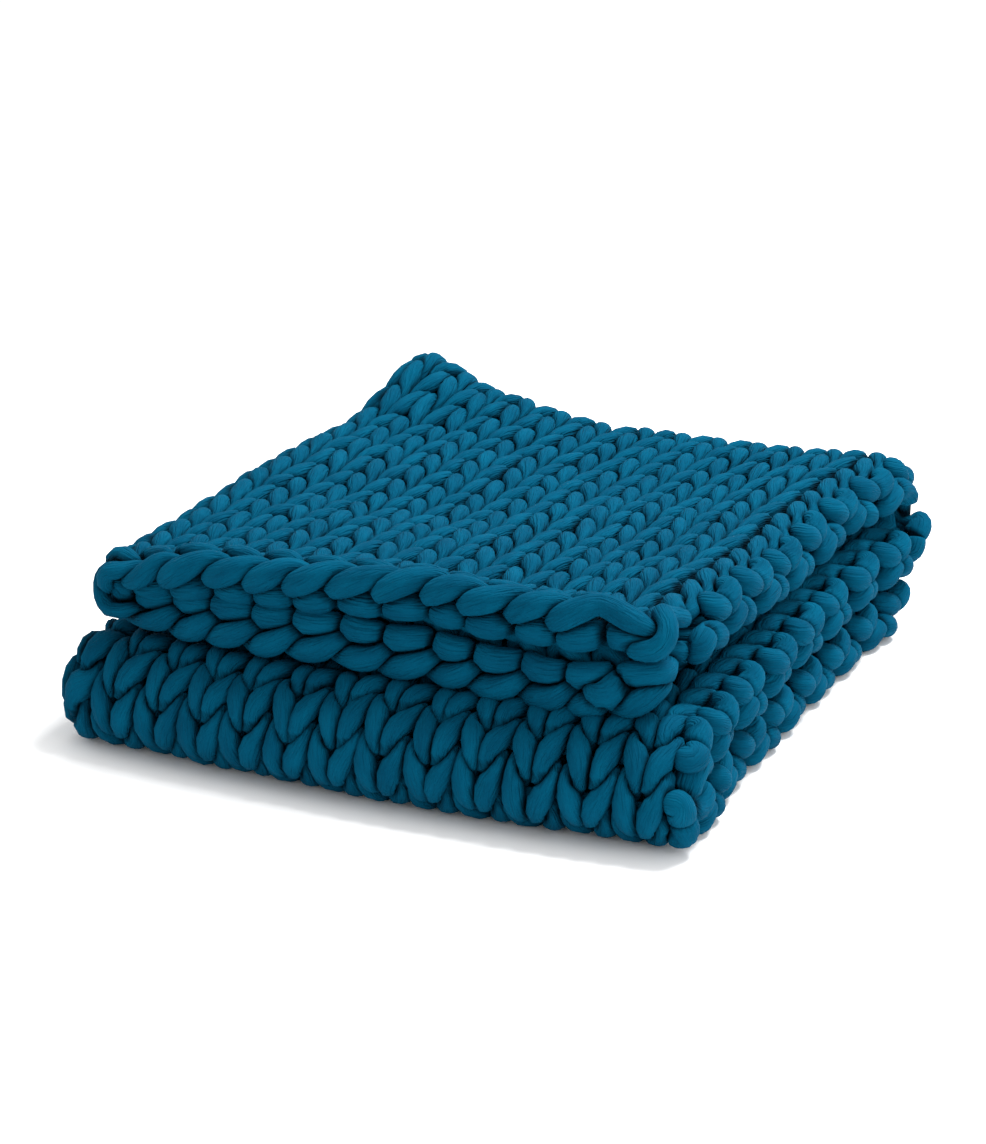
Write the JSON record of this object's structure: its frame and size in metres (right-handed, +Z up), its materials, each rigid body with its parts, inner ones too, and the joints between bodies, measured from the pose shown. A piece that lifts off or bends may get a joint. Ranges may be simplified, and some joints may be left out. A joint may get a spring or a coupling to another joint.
{
  "type": "weighted blanket",
  "caption": "Chunky hand-knitted weighted blanket of thick stuffed tube yarn, folded into a low square stack with its bound-off edges at the front.",
  "frame": {"origin": "on the floor, under the middle of the folded stack's box", "axes": "+Z up, +X along the front edge towards the open side edges, +Y from the bound-off front edge to the back fold"},
  "size_m": [0.635, 0.7372, 0.2142],
  "materials": {
    "tube_yarn": "smooth fine cotton jersey, matte with a faint sheen, deep teal blue"
  },
  "bodies": {
    "root": {"knit_blanket": "tube_yarn"}
  },
  "joints": []
}
